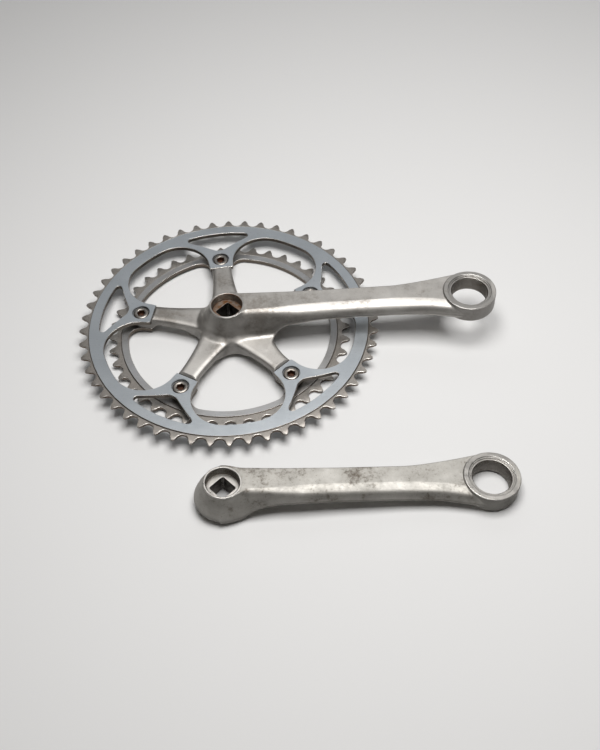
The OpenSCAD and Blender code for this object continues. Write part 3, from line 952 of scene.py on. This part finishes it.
def rust_finish(name):
    """Rust in a hexagon socket or at the bottom of a recess."""
    finish = Finish(name, metallic=0.25)
    cloud = finish.noise(0.0016, 5, 0.7)
    colour = finish.blend(finish.between(cloud, 0.35, 0.65), (0.025, 0.010, 0.006), (0.12, 0.045, 0.018))
    finish.set(Base_Color=colour)
    finish.set(Roughness=finish.between(cloud, 0.3, 0.7, 0.55, 0.85))
    finish.set(Normal=finish.bump(cloud, 0.0002, 0.6))
    return finish.material


# ---------------------------------------------------------------- pieces
def dress(thing, name, body, nodes, materials, sharp=None):
    """Names a finished mesh, gives it its materials, and lets it stand for its CAD node."""
    thing.name = name
    thing.data.name = name
    groups = np.zeros(len(thing.data.polygons), dtype=np.int32)
    thing.data.polygons.foreach_get("material_index", groups)
    thing.data.materials.clear()
    for material in materials:
        thing.data.materials.append(material)
    thing.data.polygons.foreach_set("material_index", groups)
    if sharp is not None:
        thing.data.polygons.foreach_set("use_smooth", [True] * len(thing.data.polygons))
        thing.data.set_sharp_from_angle(angle=math.radians(sharp))
    thing.data.update()
    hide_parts(*nodes)
    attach(thing, body)
    return thing


rust = rust_finish("socket_rust")
right_forged = forged_finish("right_forged_alloy", (0.60, 0.582, 0.555), (0.45, 0.43, 0.405),
                             (0.20, 0.17, 0.14), 0.45, 0.48, 0.3)
left_forged = forged_finish("left_forged_alloy", (0.49, 0.476, 0.448), (0.32, 0.307, 0.28),
                            (0.14, 0.12, 0.10), 1.0, 0.55, 5.1)
machined = machined_finish("machined_alloy", (0.55, 0.53, 0.50), (0.20, 0.155, 0.11), 0.02, 0.3, 2.2)
recess = machined_finish("stained_recess", (0.50, 0.43, 0.36), (0.30, 0.13, 0.05), 0.22, 0.4, 3.1)
thread = machined_finish("grimy_thread", (0.24, 0.215, 0.19), (0.09, 0.065, 0.045), 0.14, 0.4, 3.7)
taper = machined_finish("spindle_taper", (0.10, 0.09, 0.08), (0.02, 0.016, 0.013), 0.15, 0.5, 4.4)
anodised = anodised_finish("anodised_web", (0.61, 0.65, 0.685), (0.52, 0.56, 0.595),
                           (0.22, 0.215, 0.21), 0.33, 0.9)
# painted shadow: the last two numbers darken the inner ring's web far into the places that the outer ring and
# the spider cover
inner_web = anodised_finish("inner_web", (0.50, 0.505, 0.515), (0.43, 0.425, 0.42),
                            (0.16, 0.125, 0.095), 0.36, 1.9, 0.014, 0.85)
bare = worn_finish("bare_teeth", (0.50, 0.47, 0.435), (0.36, 0.33, 0.30), (0.12, 0.09, 0.07), 0.33, 6.2, 0.7)
edge_metal = worn_finish("worn_edge", (0.80, 0.78, 0.745), (0.66, 0.63, 0.59), (0.25, 0.21, 0.17),
                         0.26, 7.3, 0.2, (0.5, 0.47, 0.43))
bolt_steel = worn_finish("bolt_steel", (0.36, 0.34, 0.315), (0.25, 0.225, 0.20), (0.09, 0.06, 0.04),
                         0.34, 8.4, 0.6)
nut_steel = worn_finish("nut_steel", (0.58, 0.56, 0.53), (0.44, 0.42, 0.39), (0.14, 0.11, 0.08),
                        0.33, 9.5, 0.4)

DRIVE, LOOSE = "drive_side", "left_crank"
dress(build_right_arm(), "right_arm_forged", DRIVE, ["right_arm"],
      [right_forged, right_forged, machined, recess, taper, thread])
dress(build_left_arm(), "left_arm_forged", LOOSE, ["left_arm"],
      [left_forged, left_forged, machined, machined, taper, thread])

WINDOW = {"apex": 74.6, "outer_r": 92.5, "slope": 0.553, "blunt": 2.6, "end_r": 2.4, "bow": 0.5}
window = window_outline(**WINDOW)
outer = chainring("outer_ring_plate", OUTER_TEETH, 1.03, 0.0, WEB_BACK, 99.7,
                  middle_outline(90.6, 23.1, 7.6),
                  [turned(window, LEG_TURN + i * LEG_STEP) for i in range(LEGS)],
                  [(HEAD_RECESS + 0.35, 0), (HEAD_RECESS, -0.35), (HEAD_RECESS, HEAD_SEAT),
                   (BOLT_HOLE_R, HEAD_SEAT), (BOLT_HOLE_R, WEB_BACK)])
dress(outer, "outer_ring_worn", DRIVE, ["outer_ring"],
      [anodised, bare, edge_metal], 28)
inner = chainring("inner_ring_plate", INNER_TEETH, 1.28, INNER_FRONT, INNER_BACK, 77.6,
                  middle_outline(72.8, 9.0, 21.2), [],
                  [(BOLT_HOLE_R, INNER_FRONT), (BOLT_HOLE_R, INNER_BACK + NUT_SEAT),
                   (FLANGE_R + 0.3, INNER_BACK + NUT_SEAT), (FLANGE_R + 0.3, INNER_BACK + 0.2),
                   (FLANGE_R + 0.5, INNER_BACK)])
dress(inner, "inner_ring_worn", DRIVE, ["inner_ring"],
      [inner_web, bare, edge_metal], 28)
for i in range(LEGS):
    node = f"chainring_bolt_{i + 1}"
    dress(chainring_bolt(i), node + "_head", DRIVE, [node], [bolt_steel, rust])
    node = f"sleeve_nut_{i + 1}"
    dress(sleeve_nut(i), node + "_sleeve", DRIVE, [node], [nut_steel])


# ---------------------------------------------------------------- stage, light and camera
def floor_material():
    finish = Finish("pale_floor", metallic=0.0, specular=0.15)
    cloud = finish.noise(0.35, 3, 0.5)
    colour = finish.blend(cloud, (0.86, 0.86, 0.86), (0.90, 0.895, 0.89))
    finish.set(Base_Color=colour)
    finish.surface.inputs["Roughness"].default_value = 0.6
    clear = finish.add("ShaderNodeBsdfTransparent").outputs[0]
    back = finish.add("ShaderNodeNewGeometry").outputs["Backfacing"]
    both = finish.add("ShaderNodeMixShader", {0: back, 1: finish.surface.outputs[0], 2: clear})
    output = finish.tree.nodes["Material Output"]
    finish.tree.links.new(both.outputs[0], output.inputs["Surface"])
    return finish.material


FLOOR_TILT = 1.0  # degrees: the object rests on its boss and on the inner ring's teeth
FLOOR_TOUCH = Vector((13.0, 0.0, BOSS_BACK))
FLOOR_HALF = 3000.0
FLOOR_STEPS = 24


def make_floor():
    side = np.linspace(-FLOOR_HALF, FLOOR_HALF, FLOOR_STEPS + 1)
    rise = math.tan(math.radians(FLOOR_TILT))
    points = [(x, y, FLOOR_TOUCH.z + (x - FLOOR_TOUCH.x) * rise - 0.05) for x in side for y in side]
    n = FLOOR_STEPS + 1
    faces = [(i * n + j, (i + 1) * n + j, (i + 1) * n + j + 1, i * n + j + 1)
             for i in range(FLOOR_STEPS) for j in range(FLOOR_STEPS)]
    floor = new_object("floor", points, faces)
    floor.data.materials.append(floor_material())


def softbox(name, place, target, size, power, colour=(1, 1, 1)):
    light = bpy.data.lights.new(name, "AREA")
    light.shape = "RECTANGLE"
    light.size, light.size_y = size
    light.energy = power
    light.color = colour
    lamp = bpy.data.objects.new(name, light)
    lamp.location = place
    lamp.rotation_euler = (Vector(target) - Vector(place)).to_track_quat("-Z", "Y").to_euler()
    bpy.context.scene.collection.objects.link(lamp)


OVERHEAD_W, REFLECTOR_W = 6.95, 1.1  # watts
ROOM = (1.0, 0.93, 0.87, 1)
ROOM_STRENGTH = 0.045

make_floor()
softbox("overhead_softbox", (0.12, -0.05, 0.80), (0.12, -0.05, 0.0), (0.52, 0.48), OVERHEAD_W,
        (1.0, 0.99, 0.975))
softbox("back_reflector", (0.14, 0.85, 0.80), (0.05, 0.0, 0.0), (1.5, 0.45), REFLECTOR_W, (0.97, 0.985, 1.0))
world = bpy.data.worlds.new("studio")
world.use_nodes = True
world.node_tree.nodes["Background"].inputs["Color"].default_value = ROOM
world.node_tree.nodes["Background"].inputs["Strength"].default_value = ROOM_STRENGTH
bpy.context.scene.world = world
bpy.context.scene.view_settings.view_transform = "Standard"

# degrees, then metres; the lens is in millimetres
CAMERA_ELEVATION = 50.909
CAMERA_ROLL = -2.132
CAMERA_HEADING = -0.2
CAMERA_PLACE = (0.05144, -0.52380, 0.58388)
CAMERA_LENS, CAMERA_SENSOR, CAMERA_SHIFT = 52.58, 36, -0.00133


def make_camera():
    camera = bpy.data.cameras.new("camera")
    camera.lens = CAMERA_LENS
    camera.sensor_width = CAMERA_SENSOR
    camera.shift_y = CAMERA_SHIFT
    camera.clip_start, camera.clip_end = 0.01, 50
    eye = bpy.data.objects.new("camera", camera)
    down = math.radians(90 - CAMERA_ELEVATION)
    turn = (Matrix.Rotation(math.radians(-CAMERA_HEADING), 4, "Z") @ Matrix.Rotation(down, 4, "X")
            @ Matrix.Rotation(math.radians(CAMERA_ROLL), 4, "Z"))
    eye.matrix_world = Matrix.Translation(CAMERA_PLACE) @ turn
    bpy.context.scene.collection.objects.link(eye)
    bpy.context.scene.camera = eye


make_camera()
